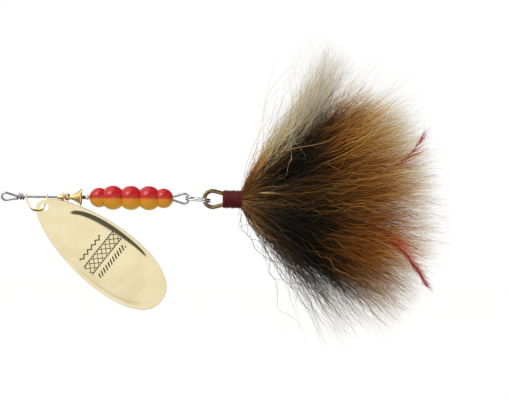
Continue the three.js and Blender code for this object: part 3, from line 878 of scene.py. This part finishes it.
def thread_wrap():
    """Layers of thread wound over the shanks and the butts of the hair."""
    start, end, radius = extent("thread_wrap")
    core_r = radius - 2.6 * THREAD_R
    core = [
        (start + 0.1, 2.9), (start + 0.2, core_r - 0.2), (start + 0.8, core_r), (end - 0.8, core_r),
        (end - 0.1, core_r - 0.2), (end - 0.1, 2.62), (start + 5.8, 2.62), (start + 0.4, 2.9),
    ]
    core = turned("thread_core", core)

    def winding(turns, base_r, first, last, wobble):
        t = np.linspace(0, 1, int(abs(turns) * 40))
        angle = 2 * np.pi * turns * t
        drift = wobble * np.sin(2 * np.pi * t * turns * 0.37 + turns)
        x = first + (last - first) * t + drift * np.sin(np.pi * t)
        swell = 0.16 * np.sin(2 * np.pi * t * 2.3) + 0.07 * np.sin(angle * 0.5)
        onward = math.copysign(1, last - first)
        ease = np.minimum(onward * (x - first), onward * (last - x)) / 0.9
        r = base_r + swell * 0.6 - 0.25 * (1 - np.clip(ease, 0, 1))
        return np.stack([x, r * np.cos(angle), r * np.sin(angle)], -1)

    left, right = start + 0.25, end - 0.25
    layers = [
        winding(26, core_r + THREAD_R * 0.8, left, right, 0.05),
        winding(-7.3, core_r + THREAD_R * 2.0, right - 0.1, left + 0.2, 0.3),
        winding(5.6, core_r + THREAD_R * 2.1, left + 0.3, right - 0.6, 0.35),
    ]
    cover = joined("thread_layers", [tube_rings(path, THREAD_R, 8) for path in layers])
    look = thread_look()
    dress(core, look, "maroon_thread", "hook", "thread_wrap")
    dress(cover, look, "maroon_thread", "hook", "thread_wrap")


# ----------------------------------------------------------------------
# Strands: tail hair and hackle feathers

def strand_object(name, paths, radii, colours):
    """Closed three-sided strands over paths (strands, steps, 3), with a colour for each step."""
    count, steps, _ = paths.shape
    tangents = unit(np.gradient(paths, axis=1))
    lean = unit(random.normal(size=(count, 1, 3)))
    side = unit(np.cross(tangents, lean))
    up = np.cross(tangents, side)
    angle = 2 * np.pi * np.arange(3)[None, None, :, None] / 3
    rings = paths[:, :, None] + radii[:, :, None, None] * (
        np.cos(angle) * side[:, :, None] + np.sin(angle) * up[:, :, None])
    first = np.arange(count)[:, None, None] * steps * 3
    quads = (first + band(steps, 3)[None]).reshape(-1, 4)
    tip = (steps - 1) * 3
    ends = np.array([(2, 1, 0), (tip, tip + 1, tip + 2)])
    caps = (first + ends[None]).reshape(-1, 3)
    piece = make(name, rings.reshape(-1, 3), quads, caps)

    mesh = piece.data
    tint = mesh.color_attributes.new("strand_colour", "FLOAT_COLOR", "POINT")
    shown = np.concatenate([colours, np.ones((count, steps, 1))], axis=-1)
    tint.data.foreach_set("color", np.repeat(shown, 3, axis=1).astype(np.float32).ravel())

    # each strand has its own cell of the layout that a baked copy of its colour uses
    columns = int(math.ceil(math.sqrt(count * 5)))
    rows = int(math.ceil(count / columns))
    corner = corners(mesh)
    strand = corner // (steps * 3)
    step = (corner // 3) % steps
    u = (strand % columns + 0.15 + 0.35 * (corner % 3)) / columns
    v = (strand // columns + 0.06 + 0.88 * step / (steps - 1)) / rows
    lay_out(mesh, "OFBake", u, v)
    return piece


def colour_along(distance, stops):
    """Linear colours at distances from the root, from stops of (distance in mm, display colour)."""
    places = [place for place, _ in stops]
    channels = [np.interp(distance, places, [rgb(*c)[k] for _, c in stops]) for k in range(3)]
    return np.stack(channels, -1)


def tail_root():
    """Where hair and feathers are tied, just inside the rear edge of the thread."""
    return np.array([box("thread_wrap")[1][0] - 1.2, 0, 0])


def farthest_point(node, root):
    """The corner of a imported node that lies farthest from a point."""
    points = np.array([v.co for v in frame["nodes"][node].data.vertices]) / MM
    return points[np.argmax(np.linalg.norm(points - root, axis=1))]


# Colours along a hair as they show in a full bundle, as (distance from the root in mm, display colour)
# near the root the stops are painted lighter, against the deep shade where the hairs crowd
CREAM_TIPPED = [
    (5, (98, 67, 38)), (15, (112, 78, 43)), (25, (158, 122, 80)), (35, (200, 168, 126)),
    (48, (208, 178, 140)), (62, (212, 184, 146)), (80, (226, 198, 162)),
]
BLACK_BARRED = [
    (5, (92, 64, 36)), (18, (90, 64, 36)), (27, (76, 53, 30)), (36, (62, 45, 27)), (43, (28, 26, 21)),
    (58, (28, 26, 21)), (66, (70, 50, 28)), (76, (140, 106, 64)), (86, (192, 158, 116)),
]
GINGER_TIPPED = [
    (5, (88, 61, 34)), (16, (82, 60, 36)), (24, (34, 30, 23)), (33, (20, 20, 18)), (48, (22, 21, 18)),
    (56, (56, 40, 24)), (64, (110, 70, 29)), (75, (150, 104, 52)), (85, (184, 138, 86)),
    (96, (206, 168, 126)),
]
BROWN_MIXED = [
    (5, (86, 60, 32)), (15, (72, 55, 33)), (25, (42, 35, 25)), (35, (54, 40, 24)), (46, (50, 37, 22)),
    (57, (80, 54, 26)), (67, (104, 68, 30)), (76, (120, 80, 38)), (87, (158, 114, 64)),
    (98, (192, 152, 100)),
]
DARK_THEN_GINGER = [
    (5, (94, 67, 39)), (15, (68, 52, 33)), (25, (44, 37, 27)), (34, (21, 21, 19)), (50, (19, 19, 17)),
    (57, (44, 33, 20)), (66, (88, 55, 25)), (76, (112, 68, 29)), (87, (148, 100, 52)), (98, (184, 140, 88)),
]
BLACK_THEN_GREY = [
    (5, (94, 67, 39)), (16, (84, 64, 38)), (26, (56, 45, 30)), (36, (34, 30, 24)), (44, (20, 20, 18)),
    (60, (20, 20, 18)), (67, (46, 37, 27)), (76, (84, 64, 40)), (88, (134, 108, 78)),
]
GREY_TIPPED = [
    (5, (98, 71, 43)), (16, (94, 72, 45)), (25, (76, 64, 48)), (35, (70, 64, 56)), (50, (66, 62, 58)),
    (65, (84, 79, 72)), (80, (130, 120, 106)),
]
LOOSE_BROWN = (94, 65, 34)  # some hairs in every bundle are this brown for most of their length
HAIR_LIFT = 2.1  # how much brighter a hair is by itself than in a bundle, where its neighbours shade it

# Each tuft: record slot; colours; how many hairs; turn, from its packed tip towards the top, and spread
# across the fan, in degrees; sheet, its depth towards and away from the hooks, bulge and bow, how far it
# bows outwards and towards the top, and curl, how far its tips turn back, in mm; stretch, its length over
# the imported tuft's; the shortest hair as a share of the longest; and the shares of loose curly hairs and
# of odd brown hairs
TUFTS = {
    "hair_top_cream": dict(
        slot="cream_hair", stops=CREAM_TIPPED, count=900, turn=-3.6, spread=4.0, sheet=(-22, 8), bow=-6,
        curl=7, shortest=0.5, loose=0.1, odd=0.16),
    "hair_upper_black": dict(
        slot="black_hair", stops=BLACK_BARRED, count=1120, turn=-3.0, spread=4.0, sheet=(-15, 8), bulge=5,
        bow=-3, odd=0.04),
    "hair_upper_ginger": dict(
        slot="ginger_hair", stops=GINGER_TIPPED, spread=5.8, bulge=9, bow=1, odd=0.03),
    "hair_near_middle": dict(
        slot="brown_hair", stops=BROWN_MIXED, turn=2.0, spread=5.2, bulge=6, odd=0.12),
    "hair_lower_ginger": dict(
        slot="ginger_hair", stops=DARK_THEN_GINGER, spread=6.4, bulge=10, stretch=1.02, odd=0.03),
    "hair_lower_black": dict(
        slot="black_hair", stops=BLACK_THEN_GREY, count=1120, turn=6.0, spread=5.0, sheet=(-15, 8), bulge=6,
        bow=5, stretch=1.07, shortest=0.62, odd=0.05),
    "hair_bottom_grey": dict(
        slot="grey_hair", stops=GREY_TIPPED, count=430, turn=4.4, spread=5.6, sheet=(-12, 12), bow=7,
        stretch=1.12, shortest=0.4, loose=0.16, odd=0.08),
    "hair_far_lower": dict(
        slot="brown_hair", stops=DARK_THEN_GINGER, spread=10.0, sheet=(-22, 6), bulge=10, shortest=0.62,
        odd=0.06),
    "hair_far_upper": dict(
        slot="ginger_hair", stops=GINGER_TIPPED, spread=9.0, sheet=(-22, 6), bulge=10, shortest=0.62,
        odd=0.06),
}
HAIR_STEPS = 30
HAIR_R = 0.105
HAIR_ROOM = 9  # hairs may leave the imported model's box by this much
LOCKS = 40


def bell_curve(limit, *shape):
    """Normal draws held within a limit."""
    return np.clip(random.normal(0, 1, shape), -limit, limit)


def ripple(t, size):
    """Slow sideways waves along each hair, in two directions, that grow from its root."""
    turns = random.uniform(0.6, 1.6, (len(size), 1))
    phase = random.uniform(0, 2 * np.pi, (2, len(size), 1))
    waves = np.sin(2 * np.pi * turns * t + phase) - np.sin(phase)
    return waves * size[:, None] * np.minimum(1, 0.25 + t)


def crinkle(t, size):
    """Small irregular kinks along each hair, in two directions."""
    steps = random.normal(0, 1, (2, len(size), HAIR_STEPS))
    kinks = (np.roll(steps, 1, axis=-1) + 3 * steps + np.roll(steps, -1, axis=-1)) / 5
    return kinks * size[:, None] * np.minimum(1, 3 * t)


def hair_tuft(
        node, look, slot, stops, spread, odd, count=1130, turn=0.0, sheet=(-20, 6), bulge=0, bow=0, curl=0,
        stretch=1.0, shortest=0.66, loose=0.08):
    """A bundle of hair from under the thread to round a packed tuft's tip, gathered into loose locks."""
    root = tail_root()
    tip = farthest_point(node, root)
    reach = stretch * np.linalg.norm(tip - root)
    ahead = unit(tip - root)
    fan = unit(np.cross(ahead, [0.0, 1.0, 0.0]))
    through = np.cross(fan, ahead)
    through = through * math.copysign(1, np.dot(through, tip * (0, 1, 1)))

    lock = random.integers(0, LOCKS, count)
    stray = random.random(count) < loose
    inner, outer = sheet
    off_fan = 0.8 * bell_curve(1.9, LOCKS)[lock] + 0.6 * bell_curve(2, count)
    off_fan = off_fan * (1 + 0.7 * stray) * math.tan(math.radians(spread)) + math.tan(math.radians(turn))
    off_through = np.where(
        random.random(count) < 0.5,
        random.uniform(inner, outer, LOCKS)[lock],
        random.uniform(inner, outer, count),
    )
    length = 1 + random.uniform(-0.08, 0.01, LOCKS)[lock] - (1 - shortest) * random.random(count) ** 2.2
    end = root + unit(ahead + fan * off_fan[:, None]) * (reach * length)[:, None]
    end = end + through * off_through[:, None]

    # each hair leaves from under the thread on the side it leans to
    side = (end - root) * (0, 1, 1)
    start_r = TAIL_ROOT_R * np.sqrt(random.uniform(0.1, 1, count))
    lean = np.clip(np.linalg.norm(side, axis=1) / 24, 0.3, 1)
    start = root + unit(side + random.normal(0, 7, side.shape) * (0, 1, 1)) * (start_r * lean)[:, None]

    t = np.linspace(0, 1, HAIR_STEPS)[None]
    outward = 2 * bulge * (off_through - inner) / (outer - inner)
    middle = (start + end) / 2 + random.normal(0, 4.2, (count, 3))
    middle = middle + np.array([0, 0, bow]) + through * outward[:, None]
    u = t[..., None]
    path = bent(start[:, None], middle[:, None], end[:, None], u)
    path = path + curl * smoothstep(u, 0.6, 1.15) * np.array([-1.0, 0, 0.2])
    waves = ripple(t, random.gamma(3, 0.45, count) * (1 + 2.2 * stray))
    waves = waves + crinkle(t, random.gamma(4, 0.3, count))
    waves = waves + random.normal(0, 4.5, (2, count, 1)) * t**3
    path = path + waves[0][..., None] * fan + waves[1][..., None] * through
    low, high = (np.array(corner) / MM for corner in cad_box)
    path = np.clip(path, low - HAIR_ROOM, high + HAIR_ROOM)

    distance = np.linalg.norm(path - root, axis=-1)
    taper = np.clip((1 - t) / 0.5, 0.1, 1) ** 0.7
    radii = HAIR_R * random.uniform(0.7, 1.25, count)[:, None] * taper

    colours = colour_along(distance + random.normal(0, 4.5, count)[:, None], stops)
    brown = 0.75 * (random.random(count) < odd)[:, None, None]
    colours = (colours + brown * (np.array(rgb(*LOOSE_BROWN)[:3]) - colours)) * HAIR_LIFT
    shade = 0.55 * bell_curve(1.8, count) + random.normal(0, 0.16, LOCKS)[lock]
    warm = np.abs(random.normal(0, 0.08, count))
    tint = np.stack([1 + warm, np.ones(count), 1 - warm], -1)
    colours = np.clip(colours * np.exp(shade)[:, None, None] * tint[:, None], 0, 0.85)
    piece = strand_object(node.replace("hair", "tail"), path, radii, colours)
    dress(piece, look, slot, "hook", node)


def tail():
    look = strand_look("bucktail_hair", 0.55, 0.0)
    for node, recipe in TUFTS.items():
        hair_tuft(node, look, **recipe)


def feather(node, look, barbs, vane_start, lengths, spread, elbow, lift, proud):
    """A hackle feather buried in the hair up to its vane, which curls away from the tail's middle. Barbs
    and their lengths in mm are given for the upper and the lower side. Elbow is where the quill starts to
    curl, as shares of its reach along and off the shaft's axis. Lift raises its tip, and proud brings it
    forward, in mm."""
    root = tail_root()
    tip = root + (farthest_point(node, root) - root) * 0.95 + (0, 0, lift)
    knee = root + (tip - root) * (elbow[0], 0.7, elbow[1])
    t = np.linspace(0, 1, 60)[:, None]
    quill = bent(root, knee, tip, t)
    quill = quill - smoothstep(t, 0.45, 0.8) * np.array([0, proud, 0])
    ahead = unit(np.gradient(quill, axis=0))
    across = unit(np.cross(ahead, [0.0, 1.0, 0.0]))

    # barbs down each side, shorter towards the tip
    count = sum(barbs)
    side = np.repeat([1.0, -1.0], barbs)
    place = random.uniform(vane_start, 0.97, count)
    at = place * (len(quill) - 1)
    below = np.floor(at).astype(int)
    part = (at - below)[:, None]
    base = quill[below] * (1 - part) + quill[below + 1] * part
    along = (place - vane_start) / (1 - vane_start)
    size = np.repeat(lengths, barbs) * (1 - 0.8 * along) * random.uniform(0.5, 1.15, count)
    opened = spread * np.abs(random.normal(1, 0.5, count))
    opening = across[below] * (side * opened)[:, None]
    heading = unit(ahead[below] + opening + random.normal(0, 0.1, (count, 3)))
    closing = ahead[below] * 0.3 + random.normal(0, 0.1, (count, 3))
    u = np.linspace(0, 1, 8)[None, :, None]
    paths = base[:, None] + size[:, None, None] * (heading[:, None] * u + closing[:, None] * u**2)
    radii = 0.1 * np.clip(1 - u[..., 0], 0.12, 1) ** 0.5 * np.ones((count, 1))
    reds = colour_along(size[:, None] * u[..., 0], [(0, (172, 16, 22)), (9, (214, 44, 42))])
    reds = reds * np.exp(random.normal(0, 0.25, (count, 1, 1)))
    vane = strand_object(node + "_vane", paths, radii, np.clip(reds, 0, 1))
    dress(vane, look, "red_hackle", "hook", node)

    thin = 0.36 * np.linspace(1, 0.2, len(quill))
    shaft = np.broadcast_to(rgb(170, 24, 28)[:3], (1, len(quill), 3))
    spine = strand_object(node + "_quill", quill[None], thin[None], shaft)
    dress(spine, look, "red_hackle", "hook", node)


# ----------------------------------------------------------------------
# Studio

def studio_world():
    """White to the eye and softly even on dull parts. Shiny parts see a bright room in front and behind,
    with dim sides and floor, a dark strip high up and a soft box up on the left."""
    world = bpy.data.worlds.new("studio")
    world.use_nodes = True
    bpy.context.scene.world = world
    nodes = Nodes(world.node_tree)
    nodes.tree.nodes.clear()

    def levels(source, *stops):
        """Brightness over a direction's part, from -1 to 1."""
        stops = [((part + 1) / 2, (level, level, level * 0.97, 1)) for part, level in stops]
        return nodes.ramp(nodes.span(source, -1, 1), *stops)

    direction = nodes.add("TexCoord").outputs["Generated"]
    _, y, z = nodes.parts(direction)
    by_height = levels(
        z, (-1, 0.4), (-0.85, 0.7), (-0.66, 0.92), (-0.4, 0.98), (0, 1), (0.54, 1), (0.565, 0.13),
        (0.88, 0.1), (0.94, 0.35), (1, 0.4))
    by_depth = levels(y, (-1, 1), (-0.45, 1), (-0.1, 0.35), (0.55, 0.35), (0.75, 1))
    to_box = nodes.add("VectorMath", operation="DOT_PRODUCT")
    to_box.inputs[1].default_value = (-0.6, -0.15, 0.79)
    nodes.feed(to_box.inputs[0], direction)
    soft_box = nodes.scale(levels(to_box.outputs["Value"], (0.66, 0), (0.76, 1)), 1.5)
    room = nodes.mix(1.0, nodes.mix(1.0, by_height, by_depth, "MULTIPLY"), soft_box, "LIGHTEN")

    def background(strength, colour=(1, 1, 1, 1)):
        node = nodes.add("Background")
        nodes.feed(node.inputs["Color"], colour)
        nodes.feed(node.inputs["Strength"], strength)
        return node.outputs[0]

    def choose(share, first, second):
        node = nodes.add("MixShader")
        for socket, value in zip(node.inputs, (share, first, second)):
            nodes.feed(socket, value)
        return node.outputs[0]

    rays = nodes.add("LightPath").outputs
    shown = choose(rays["Is Glossy Ray"], background(AMBIENT), background(1.0, room))
    shown = choose(rays["Is Camera Ray"], shown, background(1.0))
    nodes.feed(nodes.add("OutputWorld").inputs["Surface"], shown)


def soft_light(name, place, size, power, mirrored):
    light = bpy.data.lights.new(name, "AREA")
    light.size = size
    light.energy = power
    holder = bpy.data.objects.new(name, light)
    bpy.context.scene.collection.objects.link(holder)
    low, high = cad_box
    centre = (low + high) / 2
    holder.location = centre + Vector(place)
    holder.rotation_euler = (-Vector(place)).to_track_quat("-Z", "Y").to_euler()
    holder.visible_camera = False
    holder.visible_glossy = mirrored


def floor():
    low, high = cad_box
    sides = 96
    angle = 2 * np.pi * np.arange(sides) / sides
    rings = []
    for radius in (40, 400, 1200, 4000):
        x = (low.x + high.x) / 2 / MM + radius * np.cos(angle)
        z = np.full(sides, low.z / MM - FLOOR_DROP)
        rings.append(np.stack([x, radius * np.sin(angle), z], -1))
    middle = np.arange(sides)[None]
    piece = make("floor", np.concatenate(rings), band(len(rings), sides)[:, ::-1], middle)
    piece.data.materials.append(floor_look())
    piece.visible_glossy = False
    piece.visible_diffuse = False


def camera():
    """A long lens square on to the domed side of the blade, rolled very slightly."""
    low, high = cad_box
    picture_width = PICTURE_WIDTH * (high.x - low.x)
    data = bpy.data.cameras.new("camera")
    data.lens = 200
    data.sensor_width = 36
    holder = bpy.data.objects.new("camera", data)
    bpy.context.scene.collection.objects.link(holder)
    distance = picture_width * data.lens / data.sensor_width
    holder.location = (low.x + picture_width * PICTURE_MIDDLE, -distance, -0.2 * MM)
    holder.rotation_euler = (math.pi / 2, CAMERA_ROLL, 0)
    data.clip_end = 20
    bpy.context.scene.camera = holder


# ----------------------------------------------------------------------

shaft_wire()
clevis()
blade()
front_cone()
bead("bead_cap", "cap_bead", "cap_bead", BRASS, "brass", rings=2)
bell()
# the spacer bead's dark colour is painted shade
bead("bead_spacer", "spacer_bead", "spacer_bead", SHADE_DARK_METAL, "dark_metal")
bead("bead_neck", "neck_bead", "neck_bead", BRASS, "brass")
lobed_body()
split_ring()
hooks()
thread_wrap()
tail()
red = strand_look("hackle_red", 0.5, 0.3)
feather(
    "hackle_lower", red, barbs=(170, 170), vane_start=0.56, lengths=(18, 9), spread=0.17,
    elbow=(0.76, -0.05), lift=0, proud=6)
feather(
    "hackle_upper", red, barbs=(30, 60), vane_start=0.56, lengths=(10, 14), spread=0.26,
    elbow=(0.89, 0.06), lift=8, proud=2.5)

studio_world()
soft_light("key", (-0.45, -0.42, 0.6), 0.42, 3.6, mirrored=True)
soft_light("fill", (0.5, -0.9, 0.15), 0.8, 1.4, mirrored=False)
floor()
camera()
bpy.context.scene.view_settings.view_transform = "Standard"
